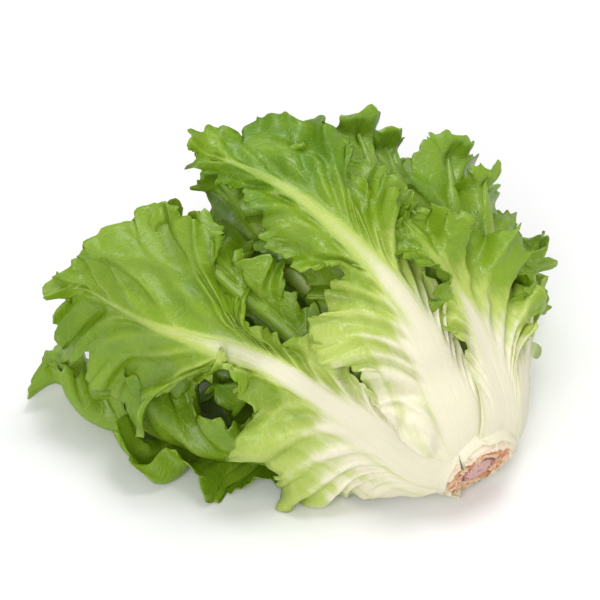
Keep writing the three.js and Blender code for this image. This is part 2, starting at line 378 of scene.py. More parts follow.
def sheet_faces(rows, columns):
    """Faces of the leaf's grid, whose last row folds shut from the midrib's end to the tip."""
    index = np.arange(rows * columns).reshape(rows, columns)
    side = (columns - RIB_COLUMNS) // 2
    index[-1, columns - side :] = index[-1, :side][::-1]
    index[-1, side : columns - side] = index[-1, side]
    faces = np.stack([index[:-1, :-1], index[:-1, 1:], index[1:, 1:], index[1:, :-1]], -1)
    return [tuple(dict.fromkeys(face)) for face in faces.reshape(-1, 4).tolist()]


def add_object(name, data):
    made = bpy.data.objects.new(name, data)
    bpy.context.scene.collection.objects.link(made)
    return made


def set_attribute(mesh, name, values):
    kind, field = ("FLOAT", "value") if values.ndim == 1 else ("FLOAT_VECTOR", "vector")
    layer = mesh.attributes.new(name, kind, "POINT")
    layer.data.foreach_set(field, values.astype(np.float32).ravel())


def get_attribute(mesh, name):
    values = np.empty(len(mesh.vertices), np.float32)
    mesh.attributes[name].data.foreach_get("value", values)
    return values.astype(float)


# Geometry Nodes


class Wiring:
    """Adds nodes to a node tree by short calls."""

    def __init__(self, tree):
        self.tree = tree

    def node(self, kind, inputs=(), **settings):
        made = self.tree.nodes.new(kind)
        for name, value in settings.items():
            setattr(made, name, value)
        for key, value in dict(inputs).items():
            self.put(made.inputs[key], value)
        return made

    def out(self, kind, inputs=(), **settings):
        return self.node(kind, inputs, **settings).outputs[0]

    def put(self, socket, value):
        if isinstance(value, bpy.types.NodeSocket):
            self.tree.links.new(value, socket)
        else:
            socket.default_value = value

    def math(self, operation, *values):
        return self.out("ShaderNodeMath", enumerate(values), operation=operation)

    def less(self, value, taken):
        return self.math("SUBTRACT", value, taken)

    def total(self, first, *others):
        for value in others:
            first = self.math("ADD", first, value)
        return first

    def product(self, first, *others):
        for value in others:
            first = self.math("MULTIPLY", first, value)
        return first

    def rise(self, value, low, high, to_low=0.0, to_high=1.0):
        inputs = {"Value": value, "From Min": low, "From Max": high, "To Min": to_low, "To Max": to_high}
        made = self.node("ShaderNodeMapRange", inputs, interpolation_type="SMOOTHSTEP")
        return made.outputs["Result"]

    def vector(self, operation, first, second):
        return self.out("ShaderNodeVectorMath", {0: first, 1: second}, operation=operation)

    def scaled(self, vector, scale):
        return self.out("ShaderNodeVectorMath", {0: vector, "Scale": scale}, operation="SCALE")

    def painted_on(self, name):
        """An attribute, read by a material."""
        return self.node("ShaderNodeAttribute", attribute_name=name).outputs["Fac"]

    def attribute(self, name, data_type="FLOAT"):
        made = self.node("GeometryNodeInputNamedAttribute", {"Name": name}, data_type=data_type)
        return made.outputs["Attribute"]


def new_tree(name, inputs):
    """An empty Geometry Nodes tree with a geometry in and out and these named inputs."""
    tree = bpy.data.node_groups.new(name, "GeometryNodeTree")
    sockets = tree.interface
    sockets.new_socket("Geometry", in_out="INPUT", socket_type="NodeSocketGeometry")
    sockets.new_socket("Geometry", in_out="OUTPUT", socket_type="NodeSocketGeometry")
    for title, kind, default in inputs:
        made = sockets.new_socket(title, in_out="INPUT", socket_type=kind)
        if default is not None:
            made.default_value = default
    return tree


WAVES = ("Ruffle", "Frill", "Crinkle", "Bend", "Pucker")


def painted(w, geometry, tree, material):
    """Ends a tree: the geometry, in its material, goes out."""
    made = w.node("GeometryNodeSetMaterial", {"Geometry": geometry, "Material": material})
    w.node("NodeGroupOutput", {"Geometry": made.outputs[0]})
    return tree


def frill_tree():
    """Throws a flat leaf into pleats between its veins and into ruffles that grow towards its edge."""
    inputs = [(title + " height", "NodeSocketFloat", 0.0) for title in WAVES]
    inputs += [("Inward limit", "NodeSocketFloat", 0.02), ("Pucker size", "NodeSocketFloat", 0.01)]
    inputs += [("Seed", "NodeSocketFloat", 0.0)]
    tree = new_tree("Leaf frill", inputs + [("Material", "NodeSocketMaterial", None)])
    w = Wiring(tree)
    given = w.node("NodeGroupInput").outputs
    q = w.attribute("q")
    ruffle_phase = w.attribute("ruffle_phase")
    frill_phase = w.attribute("frill_phase")
    strength = w.attribute("strength")
    free = w.product(w.rise(q, 0.22, 1.0), strength)
    looser = w.product(w.rise(q, 0.55, 1.0), strength)
    ruffle = w.product(free, given["Ruffle height"])
    frill = w.product(looser, given["Frill height"])
    crinkle = w.product(w.rise(q, 0.8, 1.0), strength, given["Crinkle height"])
    crinkle_phase = w.total(w.product(frill_phase, 2.7), ruffle_phase)
    bend = w.product(w.attribute("bend"), w.rise(q, 0.1, 1.0), given["Bend height"])
    scale = w.math("DIVIDE", 1.0, given["Pucker size"])
    place_at = {"Vector": w.out("GeometryNodeInputPosition"), "W": given["Seed"], "Scale": scale}
    settings = {**place_at, "Detail": 3.0, "Roughness": 0.6}
    blister = w.less(w.out("ShaderNodeTexNoise", settings, noise_dimensions="4D"), 0.5)
    pucker = w.product(blister, given["Pucker height"], w.rise(q, 0.0, 0.3), strength)
    free_out = w.total(
        w.product(ruffle, w.math("COSINE", ruffle_phase)),
        w.product(frill, w.math("COSINE", frill_phase)),
        bend,
        w.product(w.attribute("pleat"), -1.0),
    )
    held = w.math("SMOOTH_MIN", free_out, w.attribute("limit"), LIMIT_SOFTNESS)
    held = w.math("SMOOTH_MAX", held, w.product(given["Inward limit"], -1.0), LIMIT_SOFTNESS)
    out = w.total(held, pucker, w.product(crinkle, w.math("COSINE", crinkle_phase)))
    edgeways = w.total(
        w.product(ruffle, 0.22, w.math("SINE", w.product(ruffle_phase, 2.0))),
        w.product(frill, 0.30, w.math("SINE", w.product(frill_phase, 2.0))),
    )
    outward = w.scaled(w.attribute("outward", "FLOAT_VECTOR"), out)
    sideways = w.scaled(w.attribute("edgeways", "FLOAT_VECTOR"), edgeways)
    offset = w.vector("ADD", outward, sideways)
    moved = w.out("GeometryNodeSetPosition", {"Geometry": given["Geometry"], "Offset": offset})
    real = w.out("GeometryNodeRealizeInstances", {"Geometry": moved})
    return painted(w, real, tree, given["Material"])


def run_tree(sheet, tree, values):
    """The mesh that the tree makes of a sheet. The sheet itself is used up."""
    piece = add_object("sheet", sheet)
    modifier = piece.modifiers.new("Frill", "NODES")
    modifier.node_group = tree
    for item in tree.interface.items_tree:
        if item.in_out == "INPUT" and item.name in values:
            modifier[item.identifier] = values[item.name]
    graph = bpy.context.evaluated_depsgraph_get()
    done = piece.evaluated_get(graph)
    made = bpy.data.meshes.new_from_object(done, preserve_all_data_layers=True, depsgraph=graph)
    bpy.data.objects.remove(piece)
    bpy.data.meshes.remove(sheet)
    return made


# From sheet to leaf


def open_edges(faces):
    """The edges that only one face uses, each in the direction that its face runs."""
    edges = [(a, b) for face in faces for a, b in zip(face, face[1:] + face[:1])]
    used = set(edges)
    return [(a, b) for a, b in edges if (b, a) not in used]


def settle(points, floor, softness):
    """Points no lower than the floor, eased on to it."""
    height = (points[:, 2] - floor) / softness
    eased = np.log1p(np.exp(np.minimum(height, 30)))
    points[:, 2] = floor + softness * np.where(height > 30, height, eased)
    return points


def thicken(name, sheet, faces, kept):
    """Closes a leaf's sheet into a solid, thicker along its midrib and veins, on the outer face."""
    count = len(sheet.vertices)
    points, normals = np.empty(count * 3), np.empty(count * 3)
    sheet.vertices.foreach_get("co", points)
    sheet.vertex_normals.foreach_get("vector", normals)
    points, normals = points.reshape(-1, 3), normals.reshape(-1, 3)
    thick = get_attribute(sheet, "thick")[:, None]
    inner = settle(points.copy(), 0.0012, 0.0012)
    outer = settle(points + normals * thick, 0.0006, 0.0008)
    solid = list(faces)
    solid += [tuple(v + count for v in reversed(face)) for face in faces]
    solid += [(b, a, a + count, b + count) for a, b in open_edges(faces)]
    mesh = bpy.data.meshes.new(name)
    mesh.from_pydata(np.concatenate([outer, inner]).tolist(), [], solid)
    for key in kept:
        values = get_attribute(sheet, key)
        set_attribute(mesh, key, np.concatenate([values, values]))
    set_attribute(mesh, "inside", np.concatenate([np.zeros(count), np.ones(count)]))
    mesh.polygons.foreach_set("use_smooth", [True] * len(mesh.polygons))
    mesh.update()
    return mesh


def make_leaf(name, s, tree, material, seed):
    """Drapes, frills and thickens one leaf. Sizes in s are millimetres."""
    rng = np.random.default_rng(seed)
    drape = Drape(name)
    base, normal, along, values = leaf_sheet(drape, s, rng)
    rows, columns = base.shape[:2]
    distance = np.linalg.norm(base - CENTRE, axis=-1)
    room = 0.03 + 1.1 * ramp(distance, *CALM)
    values["strength"] = values["strength"] * room
    values["bend"] = values["bend"] * room
    faces = sheet_faces(rows, columns)
    corners = base.reshape(-1, 3)
    a, b, c = (corners[[face[k] for face in faces[: columns - 1]]] for k in range(3))
    facing = (np.cross(b - a, c - a) * normal.reshape(-1, 3)[: columns - 1]).sum()
    if facing < 0:
        faces = [tuple(reversed(face)) for face in faces]
    used = np.unique(np.concatenate([np.array(face) for face in faces]))
    renumber = np.zeros(rows * columns, int)
    renumber[used] = np.arange(len(used))
    renumber = renumber.tolist()
    faces = [tuple(renumber[v] for v in face) for face in faces]
    sheet = bpy.data.meshes.new(name + "_sheet")
    sheet.from_pydata((corners[used] * MM).tolist(), [], faces)
    covered, uncovered = s["limits"]
    values["limit"] = covered + (uncovered - covered) * ramp(values["flat_u"], *s["covered_to"])
    scaled = {"thick": MM, "pleat": MM, "limit": MM}
    for key, grid in values.items():
        set_attribute(sheet, key, grid.ravel()[used] * scaled.get(key, 1))
    set_attribute(sheet, "outward", normal.reshape(-1, 3)[used])
    set_attribute(sheet, "edgeways", along.reshape(-1, 3)[used])
    inputs = {title + " height": s[title.lower()] * MM for title in WAVES}
    inputs |= {"Inward limit": s["inward"] * MM, "Pucker size": s["pucker_size"] * MM}
    inputs |= {"Seed": float(seed), "Material": material}
    frilled = run_tree(sheet, tree, inputs)
    mesh = thicken(name + "_frilled", frilled, faces, ["rib", "pale", "flat_u", "flat_w"])
    bpy.data.meshes.remove(frilled)
    mesh.materials.append(material)
    return add_object(name + "_frilled", mesh)


# Finishes


def colour(code):
    """A colour from its hexadecimal code, as Blender's linear red, green, blue and alpha."""
    parts = [int(code[i : i + 2], 16) / 255 for i in (1, 3, 5)]
    return (*[p / 12.92 if p <= 0.04045 else ((p + 0.055) / 1.055) ** 2.4 for p in parts], 1.0)


def new_group(name, inputs, outputs):
    """An empty shader node group with these named sockets, and its wiring."""
    group = bpy.data.node_groups.new(name, "ShaderNodeTree")
    for title, kind in inputs:
        group.interface.new_socket(title, in_out="INPUT", socket_type=kind)
    for title, kind in outputs:
        group.interface.new_socket(title, in_out="OUTPUT", socket_type=kind)
    return group, Wiring(group)


FLOAT, COLOUR = "NodeSocketFloat", "NodeSocketColor"


def blend_colours(w, factor, first, second):
    made = w.node("ShaderNodeMix", {0: factor, 6: first, 7: second}, data_type="RGBA")
    return made.outputs[2]


def leaf_tissue_group():
    """Colour and relief of a leaf: pale midrib, veins and foot, a greener blade and a net of veins."""
    inputs = [(title, FLOAT) for title in ("Rib", "Pale", "Inside", "Along", "Across")]
    inputs += [(title, COLOUR) for title in ("Flesh", "Young", "Blade", "Deep")]
    outputs = [("Colour", COLOUR), ("Glow", COLOUR), ("Relief", FLOAT), ("Roughness", FLOAT)]
    group, w = new_group("Leaf tissue", inputs, outputs)
    given = w.node("NodeGroupInput").outputs
    flat = w.out("ShaderNodeCombineXYZ", {"X": given["Along"], "Y": given["Across"]})

    def noise(scale, detail, output="Fac"):
        inputs = {"Vector": flat, "Scale": scale, "Detail": detail, "Roughness": 0.55}
        return w.node("ShaderNodeTexNoise", inputs).outputs[output]

    def net(scale, width):
        stir = w.scaled(noise(scale, 2.0, "Color"), 0.9 / scale)
        at = w.vector("ADD", flat, stir)
        cells = w.node("ShaderNodeTexVoronoi", {"Vector": at, "Scale": scale}, feature="DISTANCE_TO_EDGE")
        return w.rise(cells.outputs["Distance"], 0.0, width, 1.0, 0.0)

    coarse, fine = net(0.16, 0.09), net(0.5, 0.14)
    pale = w.math("MINIMUM", given["Pale"], 1.0)
    unsure = w.product(pale, w.less(1.0, pale), 1.6)
    pale = w.total(pale, w.product(unsure, w.less(noise(0.05, 3.0), 0.5)))
    nets = w.total(w.product(coarse, 0.10), w.product(fine, 0.05))
    green = w.less(1.0, pale)
    green = w.product(green, w.less(1.0, nets))
    streaked = w.vector("MULTIPLY", flat, (0.022, 0.17, 0.0))
    streaks = w.out("ShaderNodeTexNoise", {"Vector": streaked, "Scale": 1.0, "Detail": 3.0})
    bare = w.less(1.0, given["Rib"])
    green = w.total(green, w.product(w.rise(streaks, 0.40, 0.66), pale, bare, 0.17))
    shift = w.product(w.less(noise(0.03, 3.0), 0.5), 0.9)
    green = w.total(green, w.product(shift, green), w.product(given["Inside"], green, -0.05))
    first = blend_colours(w, w.rise(green, 0.02, 0.40), given["Flesh"], given["Young"])
    second = blend_colours(w, w.rise(green, 0.34, 0.80), first, given["Blade"])
    third = blend_colours(w, w.rise(green, 0.80, 1.30), second, given["Deep"])
    glow = blend_colours(w, 0.35, third, given["Young"])
    long_way = w.vector("MULTIPLY", flat, (0.03, 1.1, 0.0))
    fibres = w.out("ShaderNodeTexNoise", {"Vector": long_way, "Scale": 1.0, "Detail": 2.0})
    relief = w.total(
        w.product(noise(0.22, 3.0), 0.7),
        w.product(coarse, bare, 0.22),
        w.product(fine, bare, 0.10),
        w.product(noise(1.4, 2.0), 0.10),
        w.product(fibres, given["Rib"], 0.8),
    )
    rough = w.total(0.22, w.product(noise(0.10, 2.0), 0.24))
    w.node("NodeGroupOutput", {"Colour": third, "Glow": glow, "Relief": relief, "Roughness": rough})
    return group


def bare_material(name):
    """A material with no nodes yet, and its wiring."""
    material = bpy.data.materials.new(name)
    material.use_nodes = True
    material.node_tree.nodes.clear()
    return material, Wiring(material.node_tree)


def leaf_material(name, group, colours, glow):
    """A waxy leaf: glossy tissue with a little light coming through it."""
    material, w = bare_material(name)
    attributes = {"Rib": "rib", "Pale": "pale", "Inside": "inside", "Along": "flat_u", "Across": "flat_w"}
    tissue = w.node("ShaderNodeGroup", node_tree=group)
    for socket, attribute in attributes.items():
        w.put(tissue.inputs[socket], w.painted_on(attribute))
    for socket, value in colours.items():
        tissue.inputs[socket].default_value = value
    relief = {"Strength": 0.6, "Distance": 0.001, "Height": tissue.outputs["Relief"]}
    bump = w.out("ShaderNodeBump", relief)
    surface = w.out(
        "ShaderNodeBsdfPrincipled",
        {
            "Base Color": tissue.outputs["Colour"],
            "Roughness": tissue.outputs["Roughness"],
            "Specular IOR Level": 0.5,
            "Coat Weight": 0.18,
            "Coat Roughness": 0.13,
            "Normal": bump,
        },
    )
    light = {"Color": tissue.outputs["Glow"], "Normal": bump}
    through = w.out("ShaderNodeBsdfTranslucent", light)
    mixed = w.out("ShaderNodeMixShader", {0: glow, 1: surface, 2: through})
    w.node("ShaderNodeOutputMaterial", {"Surface": mixed})
    return material


# The stump

CUT_RADIUS = 21.6  # mm
SIDE_PROFILE = (  # radius and height of the stump's side, in mm
    (CUT_RADIUS, -CUT_DEPTH),
    (23.4, -14.6),
    (24.4, -9),
    (24, -2),
    (22.4, 6),
    (17.4, 15),
    (10, 21),
    (0.01, CROWN_HEIGHT),
)
STUMP_SEED = 7
AROUND, FACE_RINGS, SIDE_RINGS = 360, 96, 60  # points round the stump, and rings on its face and side


def rough(angle, radius, rng, waves):
    """A sum of random waves over the cut face, about -1 to 1."""
    x, y = radius * np.cos(angle), radius * np.sin(angle)
    total = np.zeros_like(x)
    for _ in range(26):
        turn, phase = rng.uniform(0, 2 * math.pi, 2)
        pace = waves * rng.uniform(0.5, 1.6)
        total += np.cos(pace * (x * math.cos(turn) + y * math.sin(turn)) + phase) / 5
    return total


def make_stump(material, core_radius):
    """The stump: the crown that the leaves grow from, and its cut foot with the stem's core in it."""
    rng = np.random.default_rng(STUMP_SEED)
    angle = np.linspace(0, 2 * math.pi, AROUND, endpoint=False)[None, :]
    face = np.linspace(0.02, 1, FACE_RINGS)[:, None]
    uneven = 0.025 * np.cos(3 * angle + 1) + 0.02 * np.cos(7 * angle) + 0.012 * np.cos(17 * angle)
    edge = CUT_RADIUS * (1 + uneven)
    radius = face * edge
    core = core_radius * (1 + 0.12 * np.cos(2 * angle + 0.4) + 0.04 * np.cos(5 * angle))
    ratio = radius / core
    torn = ramp(ratio, 1.02, 1.2) * (1 - ramp(face, 0.93, 1))
    depth = 0.7 * rough(angle, radius, rng, 0.55) * torn + 0.45 * rough(angle, radius, rng, 1.7) * torn
    depth += 0.12 * rough(angle, radius, rng, 1.2) * (1 - torn)
    depth += 1.1 * np.exp(-(((ratio - 1.08) / 0.09) ** 2)) - 0.7 * (1 - ramp(ratio, 0.2, 1.0))
    depth += 0.7 * np.exp(-((radius / 1.6) ** 2)) + 0.7 * ramp(face, 0.9, 1)
    height = -CUT_DEPTH + np.maximum(depth, -0.9)
    profile = np.array(SIDE_PROFILE)
    length = np.concatenate([[0], np.hypot(*np.diff(profile, axis=0).T).cumsum()])
    at = np.linspace(0, length[-1], SIDE_RINGS)[1:]
    side_radius = np.interp(at, length, profile[:, 0])[:, None] * (1 + 0 * angle)
    side_height = np.interp(at, length, profile[:, 1])[:, None] + 0 * angle
    fade = np.exp(-at / 6)[:, None]
    side_radius *= 1 + fade * (edge / CUT_RADIUS - 1)
    side_height = side_height + fade * (height[-1] + CUT_DEPTH)
    radius = np.concatenate([radius, side_radius])
    height = np.concatenate([height, side_height])
    out = np.cos(angle)[..., None] * ABOVE + np.sin(angle)[..., None] * RIGHT
    points = CENTRE + radius[..., None] * out + height[..., None] * ALONG
    rings = len(points)
    points = settle(points.reshape(-1, 3) * MM, 0.0004, 0.0006)
    index = np.arange(rings * AROUND).reshape(rings, AROUND)
    turned = np.roll(index, -1, 1)
    faces = np.stack([index[:-1], turned[:-1], turned[1:], index[1:]], -1).reshape(-1, 4).tolist()
    middle, crown = len(points), len(points) + 1
    ends = [points[:AROUND].mean(0), points[-AROUND:].mean(0)]
    faces += [(middle, b, a) for a, b in zip(index[0].tolist(), turned[0].tolist())]
    faces += [(crown, a, b) for a, b in zip(index[-1].tolist(), turned[-1].tolist())]
    mesh = bpy.data.meshes.new("stump_cut")
    mesh.from_pydata([*points.tolist(), *np.array(ends).tolist()], [], faces)
    across = np.concatenate([ratio, 3 + 0 * side_radius]).ravel()
    set_attribute(mesh, "core", np.append(across, [0, 3]))
    cut = np.concatenate([1 - ramp(face, 0.9, 1.0) + 0 * angle, 0.5 * fade + 0 * angle]).ravel()
    set_attribute(mesh, "cut", np.append(cut, [1, 0]))
    work = bmesh.new()
    work.from_mesh(mesh)
    bmesh.ops.recalc_face_normals(work, faces=work.faces)
    work.to_mesh(mesh)
    work.free()
    mesh.polygons.foreach_set("use_smooth", [True] * len(mesh.polygons))
    mesh.materials.append(material)
    return add_object("stump_cut", mesh)


def stump_material():
    """Cut flesh: a dusty pink core in a brown ring, browned torn feet round it and cream skin."""
    material, w = bare_material("Cut stump")
    at = w.node("ShaderNodeTexCoord").outputs["Object"]

    def noise(scale, detail=3.0):
        inputs = {"Vector": at, "Scale": scale, "Detail": detail, "Roughness": 0.6}
        return w.out("ShaderNodeTexNoise", inputs)

    core, cut = w.painted_on("core"), w.painted_on("cut")
    shaken = w.total(core, w.product(w.less(noise(260.0), 0.5), 0.22))
    pink = blend_colours(w, noise(330.0), colour("#b98280"), colour("#e3c0b6"))
    pink = blend_colours(w, w.rise(shaken, 0.05, 0.22, 1.0, 0.0), pink, colour("#a8744a"))
    brown = blend_colours(w, w.rise(noise(420.0), 0.35, 0.62), colour("#8a4726"), colour("#c98a4f"))
    patchy = w.rise(w.total(noise(150.0), w.product(noise(480.0), 0.35)), 0.54, 0.76)
    torn = blend_colours(w, patchy, brown, colour("#e6c3a2"))
    inner = blend_colours(w, w.rise(shaken, 1.0, 1.14), pink, torn)
    ring = w.product(w.rise(shaken, 0.84, 1.0), w.rise(shaken, 1.06, 1.2, 1.0, 0.0))
    inner = blend_colours(w, w.product(ring, 0.85), inner, colour("#7c3f3c"))
    skin = blend_colours(w, w.rise(noise(90.0), 0.3, 0.7), colour("#f3e6cb"), colour("#ecd2bd"))
    paint = blend_colours(w, w.rise(cut, 0.25, 0.75), skin, inner)
    relief = w.total(w.product(noise(700.0), cut), w.product(noise(160.0), 0.3))
    bump = w.out("ShaderNodeBump", {"Strength": 0.55, "Distance": 0.0006, "Height": relief})
    roughness = w.rise(cut, 0, 1, 0.42, 0.62)
    settings = {"Base Color": paint, "Roughness": roughness, "Normal": bump}
    surface = w.out("ShaderNodeBsdfPrincipled", settings)
    w.node("ShaderNodeOutputMaterial", {"Surface": surface})
    return material


SHIFT_SEED, SIZE_SEED = 3, 5


def bundle_tree():
    """Small raised dots round a circle: the ends of the stem's vessels on the cut."""
    inputs = [("Count", "NodeSocketInt", 24), ("Ring radius", "NodeSocketFloat", 0.008)]
    inputs += [("Dot radius", "NodeSocketFloat", 0.0006), ("Unevenness", "NodeSocketFloat", 0.001)]
    tree = new_tree("Bundle ends", inputs + [("Material", "NodeSocketMaterial", None)])
    w = Wiring(tree)
    given = w.node("NodeGroupInput").outputs
    ring = {"Vertices": given["Count"], "Radius": given["Ring radius"]}
    circle = w.out("GeometryNodeMeshCircle", ring)
    low = w.scaled((-1, -1, -0.15), given["Unevenness"])
    high = w.scaled((1, 1, 0.15), given["Unevenness"])
    ends = {0: low, 1: high, "Seed": SHIFT_SEED}
    shift = w.out("FunctionNodeRandomValue", ends, data_type="FLOAT_VECTOR")
    moved = w.out("GeometryNodeSetPosition", {"Geometry": circle, "Offset": shift})
    dot = w.out("GeometryNodeMeshIcoSphere", {"Radius": given["Dot radius"], "Subdivisions": 2})
    sizes = {2: 0.5, 3: 1.3, "Seed": SIZE_SEED}
    size = w.node("FunctionNodeRandomValue", sizes, data_type="FLOAT").outputs[1]
    flat = w.out("ShaderNodeCombineXYZ", {"X": size, "Y": size, "Z": 0.5})
    given_to = {"Points": moved, "Instance": dot, "Scale": flat}
    dots = w.out("GeometryNodeInstanceOnPoints", given_to)
    real = w.out("GeometryNodeRealizeInstances", {"Geometry": dots})
    smoothed = w.out("GeometryNodeSetShadeSmooth", {"Geometry": real})
    return painted(w, smoothed, tree, given["Material"])


def make_bundle_ends(tree, material, s):
    """The vessels' ends, laid on the cut face."""
    values = {"Count": s.dots, "Ring radius": s.ring_radius, "Dot radius": s.dot_radius}
    values |= {"Unevenness": s.unevenness, "Material": material}
    mesh = run_tree(bpy.data.meshes.new("bundles"), tree, values)
    mesh.name = "bundle_ends"
    middle = (CENTRE - (CUT_DEPTH + 0.12) * ALONG) * MM
    turn = Matrix([RIGHT, -ABOVE, ALONG]).transposed().to_4x4()
    mesh.transform(Matrix.Translation(middle) @ turn)
    if not mesh.materials:
        mesh.materials.append(material)
    return add_object("bundle_ends", mesh)


def plain_material(name, paint, roughness):
    material = bpy.data.materials.new(name)
    material.use_nodes = True
    surface = material.node_tree.nodes["Principled BSDF"]
    surface.inputs["Base Color"].default_value = paint
    surface.inputs["Roughness"].default_value = roughness
    return material


# Settings


def length(title, meaning, size):
    """A length's property, from its size in millimetres."""
    size = size * MM
    return FloatProperty(name=title, description=meaning, default=size, min=0, precision=5, unit="LENGTH")


def paint(title, meaning, code):
    """A colour's property, from its hexadecimal code."""
    rgba = colour(code)
    return FloatVectorProperty(name=title, description=meaning, subtype="COLOR", size=4, default=rgba)


class LeafSizes(bpy.types.PropertyGroup):
    rib_width: length("Midrib width", "Half the midrib's width at its foot", 12.5)
    rib_height: length("Midrib height", "How far the midrib stands out of the blade at its foot", 6)
    blade: length("Blade", "Thickness of the blade", 0.75)
    vein_gap: length("Vein gap", "Distance between side veins along the leaf", 13.5)
    vein_height: length("Vein height", "How far a side vein stands out of the blade", 1)
    pleat: length("Pleats", "Depth of the blade's hollows between its side veins", 2.2)
    tooth: length("Teeth", "Height of the edge's teeth", 2.8)
    tooth_gap: length("Tooth gap", "Mean distance between teeth", 5.5)
    lobe: length("Lobes", "Height of the edge's round lobes", 8)
    lobe_gap: length("Lobe gap", "Mean distance between lobes", 30)
    ruffle: length("Ruffles", "Height of the edge's large waves", 9)
    ruffle_length: length("Ruffle length", "Length of the edge's large waves", 46)
    frill: length("Frill", "Height of the edge's small waves", 3)
    frill_length: length("Frill length", "Length of the edge's small waves", 17)
    crinkle: length("Crinkle", "Height of the edge's smallest waves", 0.9)
    bend: length("Bend", "How far the edge wanders in and out", 8)
    pucker: length("Pucker", "Height of the blade's blisters", 5)
    pucker_size: length("Pucker size", "Size of the blade's blisters", 22)


class StumpSizes(bpy.types.PropertyGroup):
    core_radius: length("Core radius", "Radius of the stem's core on the cut", 10.6)
    ring_radius: length("Ring radius", "Radius of the ring of vessels in the core", 7.9)
    dot_radius: length("Dot radius", "Radius of a vessel's end", 0.55)
    unevenness: length("Unevenness", "How far the vessels stray from their ring", 0.9)
    dots: IntProperty(name="Vessels", description="Number of vessels in the ring", default=26, min=3)


class Paints(bpy.types.PropertyGroup):
    flesh: paint("Flesh", "Colour of midribs and leaf feet", "#fcf6dc")
    young: paint("Young green", "Colour where the blade meets the veins", "#c8d96c")
    outer_leaf: paint("Outer blades", "Colour of the outer leaves' blades", "#8fb128")
    # The middle leaves' blade green is darker than the outer leaves' as painted shade for the hollow inside
    # the head
    middle_leaf: paint("Middle blades", "Colour of the middle leaves' blades", "#83a728")
    heart_leaf: paint("Heart blades", "Colour of the heart leaves' blades", "#a3bf48")
    # Deep green is also the colour that the painted shade on the top leaf turns its blade towards
    deep: paint("Deep green", "Colour of the greenest patches", "#65910f")
    background: paint("Background", "Colour of the floor", "#f3f3f3")


SETTINGS = {"leaf_sizes": LeafSizes, "stump_sizes": StumpSizes, "paints": Paints}


def sizes(group):
    """A group's lengths in millimetres, by name."""
    return {key: round(getattr(group, key) / MM, 4) for key in type(group).__annotations__}


# How a leaf fits the stump and its neighbours. Lengths are millimetres and the rest are shares.
COMMON = dict(
    heel=5.8, tip=0.22, rib_stop=0.06, sweep=1.25, foot_height=1, base_flesh=2.2, share=1, foot_ends=165,
    edge_pale=0.8, rib_pale=1, swells=(), notches=(), painted_shade=0, short=5, foot_cover=6, limits=(40, 40),
    covered_to=(110, 165), inward=8,
)
GLOW = {"outer_leaf": 0.24, "middle_leaf": 0.12, "heart_leaf": 0.16}  # share of light let through
# The leaves inside the outermost whorl start inside its feet and keep within its surface.
INNER = dict(
    heel=-7, limits=(-4, 12), inward=16, base_flesh=1, foot_height=0.1, rib_pale=0.6, edge_pale=0.4,
    ruffle=13, bend=13, foot_cover=0,
)
# The small outer leaves at the right are the most crumpled.
CRUMPLED = dict(
    edge_pale=0.3, ruffle_length=30, frill=6, frill_length=13, tooth=3.6, pucker=15, pucker_size=11,
    vein_gap=9, pleat=3, crinkle=1.4, short=0,
)
WHORLS = {
    "outer_leaf_": ("outer_leaf", dict(rows=250, columns=32)),
    "second_": ("outer_leaf", dict(INNER, rows=200, columns=26, rib_width=11.5, share=0.72, foot_ends=100)),
    "third_": ("middle_leaf", dict(INNER, rows=180, columns=24, rib_width=11, share=0.7, foot_ends=100)),
    "fourth_": ("middle_leaf", dict(INNER, rows=160, columns=22, rib_width=10, share=0.75, foot_ends=105)),
    "fifth_": ("middle_leaf", dict(INNER, rows=140, columns=20, rib_width=9, share=0.85, foot_ends=120)),
    "sixth_": ("heart_leaf", dict(INNER, rows=120, columns=18, rib_width=8, foot_ends=130)),
    "seventh_": ("heart_leaf", dict(INNER, rows=100, columns=16, rib_width=7, foot_ends=140)),
    "heart_": ("heart_leaf", dict(INNER, rows=80, columns=14, rib_width=6, foot_ends=140)),
}
OVERRIDES = {
    "outer_leaf_left": dict(
        rib_width=10.5, foot_ends=172, pucker=8, tooth=3.4, pucker_size=20, tip=0.1, lobe=11,
        lobe_gap=24, pleat=3.6, vein_gap=10, frill=5, edge_pale=0.95, short=9,
        swells=((135, 17, 28, 7, -4, 9), (150, 38, 22, 12, 0, -12), (190, 20, 40, 12, 10, -6)),
    ),
    # The top leaf's blade carries painted shade, darker than the left leaf's, for the lesser light that
    # falls on it
    "outer_leaf_top": dict(
        rib_width=12, rib_height=7, foot_ends=195, tooth=3.2, short=0, tip=0.13, lobe=10, lobe_gap=26,
        pleat=3.3, vein_gap=10.5, limits=(40, 17), covered_to=(130, 200),
        notches=(("left", 130, 10, 0.55),), frill=4, edge_pale=0.93, rib_pale=0.95, painted_shade=0.24,
        pucker=7, swells=((48, -26, 10, 11, 0, 8), (165, -14, 30, 7, 0, 7), (175, 16, 30, 8, 8, 6)),
    ),
    "outer_leaf_top_right": dict(
        CRUMPLED,
        rib_width=9.5, foot_ends=145, ruffle=15, limits=(8, 30), covered_to=(50, 80),
    ),
    "outer_leaf_right": dict(
        CRUMPLED,
        rib_width=9, foot_ends=125, ruffle=13, limits=(6, 10), covered_to=(50, 90),
    ),
    "second_whorl_leaf_2": dict(
        share=0.45, ruffle=14, ruffle_length=22, frill=7, tooth=4, limits=(-3, 9), covered_to=(125, 175),
        rib_pale=0.2, foot_ends=48, rib_width=7, lobe=11, lobe_gap=20,
    ),
    "third_whorl_leaf_1": dict(share=0.5, rib_pale=0.3, foot_ends=70, ruffle=16, ruffle_length=30),
    "third_whorl_leaf_2": dict(share=0.6, rib_pale=0.4, foot_ends=80, ruffle=16, ruffle_length=30),
    "second_whorl_leaf_4": dict(short=14, limits=(0, 6)),
    "second_whorl_leaf_5": dict(short=16, limits=(0, 5)),
    "third_whorl_leaf_4": dict(short=12, limits=(0, 5)),
    "outer_leaf_under_left": dict(foot_ends=120, rib_width=8, ruffle=11, short=7),
}


